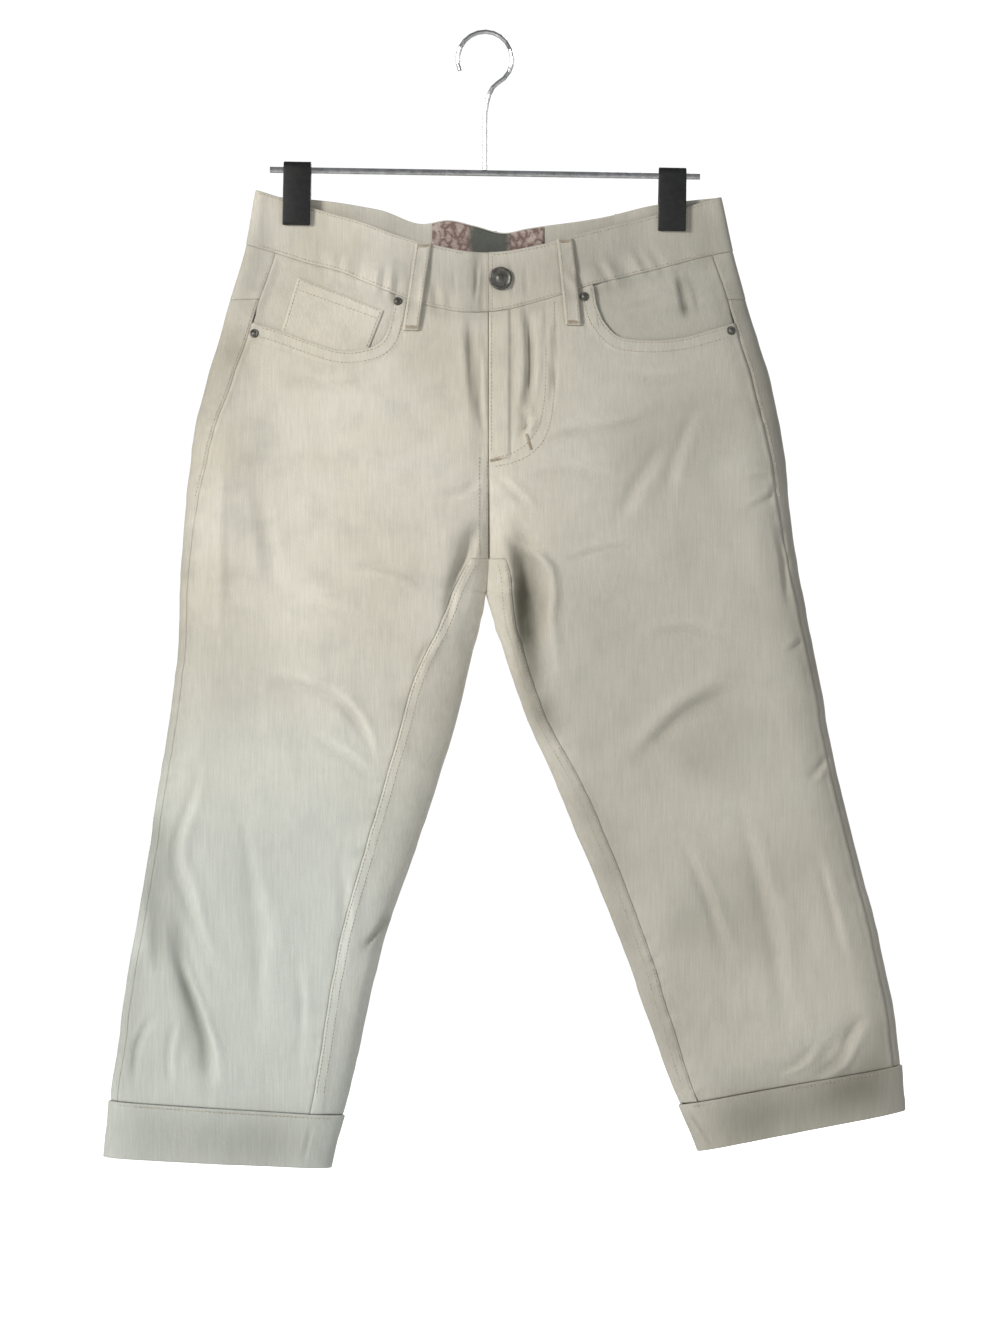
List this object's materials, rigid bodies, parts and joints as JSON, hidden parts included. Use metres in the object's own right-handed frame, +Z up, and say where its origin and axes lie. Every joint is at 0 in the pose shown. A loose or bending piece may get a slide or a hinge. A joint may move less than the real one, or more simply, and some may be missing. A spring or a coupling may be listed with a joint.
{
  "type": "capri jeans on a clip hanger",
  "caption": "Cropped jeans in off-white twill with turned-up cuffs, slant pockets, a waist button and belt loops, hung by the waistband from a bar hanger with clips.",
  "frame": {"origin": "the point inside the hanger's hook that bears on a rail", "axes": "+Z up along the hung garment, +X to the wearer's left, the garment's front faces -Y"},
  "size_m": [0.6425, 0.0428, 0.9105],
  "materials": {
    "denim": "washed off-white stretch twill",
    "denim_trim": "the same twill, doubled and topstitched",
    "pocketing": "the same twill, seen in the pocket mouths",
    "label": "printed cotton patch",
    "pewter": "dark antique nickel",
    "clip": "black satin plastic",
    "steel": "bright plated wire"
  },
  "bodies": {
    "root": {"front_right": "denim", "front_left": "denim", "back_right": "denim", "back_left": "denim", "yoke_right": "denim", "yoke_left": "denim", "coin_pocket": "denim", "waistband_right": "denim_trim", "waistband_left": "denim_trim", "belt_loop_front_right": "denim_trim", "belt_loop_front_left": "denim_trim", "belt_loop_back_right": "denim_trim", "belt_loop_back_centre": "denim_trim", "belt_loop_back_left": "denim_trim", "cuff_right": "denim_trim", "cuff_left": "denim_trim", "pocket_facing_right": "pocketing", "pocket_facing_left": "pocketing", "waist_label": "label", "waist_button": "pewter", "rivet_front_right_inner": "pewter", "rivet_front_right_side": "pewter", "rivet_front_left_inner": "pewter", "rivet_front_left_side": "pewter", "clip_right": "clip", "clip_left": "clip", "hanger_bar": "steel", "hanger_hook": "steel"}
  },
  "joints": []
}
